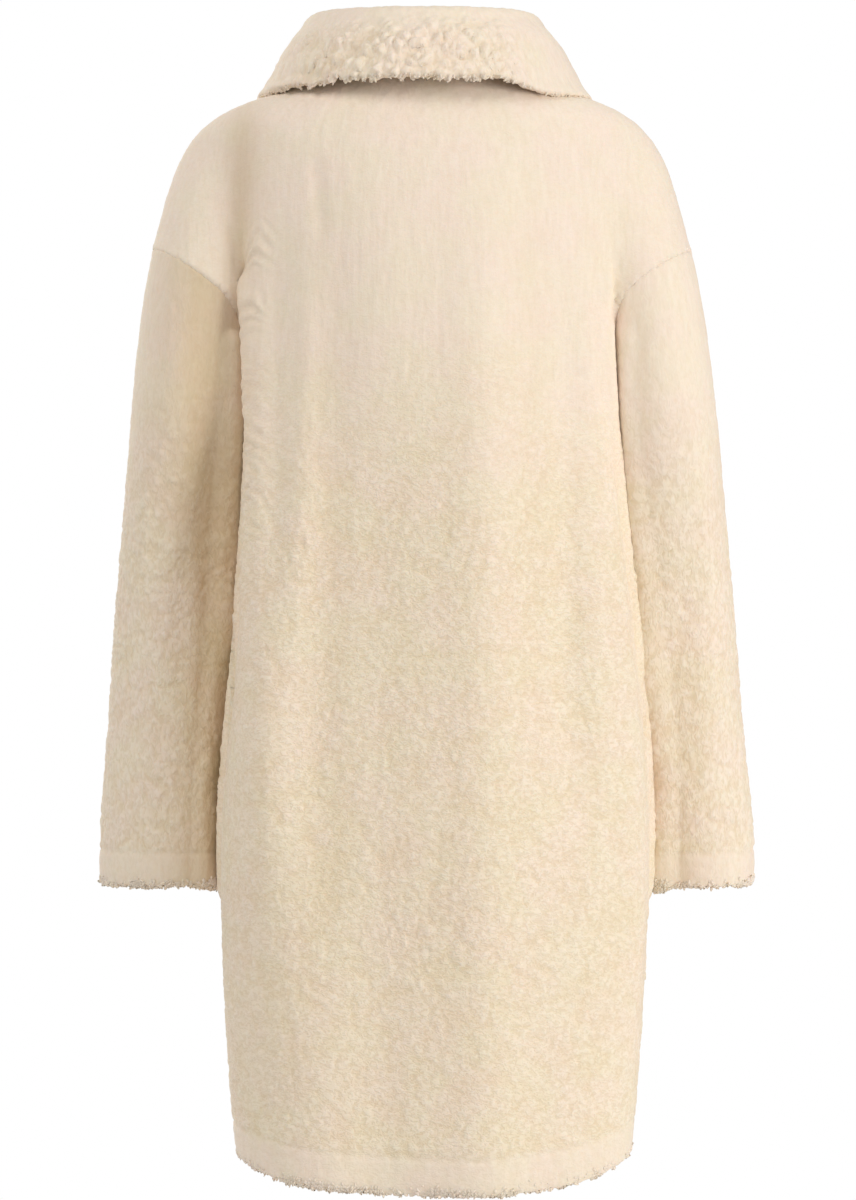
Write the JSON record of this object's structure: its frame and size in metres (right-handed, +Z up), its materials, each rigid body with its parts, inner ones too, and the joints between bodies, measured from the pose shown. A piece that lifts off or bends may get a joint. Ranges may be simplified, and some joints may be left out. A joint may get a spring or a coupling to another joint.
{
  "type": "teddy-fleece coat",
  "caption": "Knee-length coat of curly pile fleece with dropped shoulders, plain sleeves and a wide turned-down collar; filled out, hollow and open at neck, hem and cuffs.",
  "frame": {"origin": "on the coat's middle line at the height of the neck ends of the shoulder seams, where the wearer's shoulders carry the coat", "axes": "+Z up along the coat's length, +Y towards the back, +X towards the wearer's left"},
  "size_m": [0.6, 0.2893, 1.0332],
  "materials": {
    "fleece": "matte curly cream pile with soft sheen",
    "horn": "satin, horn-like"
  },
  "bodies": {
    "root": {"back": "fleece", "front_left": "fleece", "front_right": "fleece", "sleeve_left": "fleece", "sleeve_right": "fleece", "collar": "fleece", "button_1": "horn", "button_2": "horn", "button_3": "horn"}
  },
  "joints": []
}
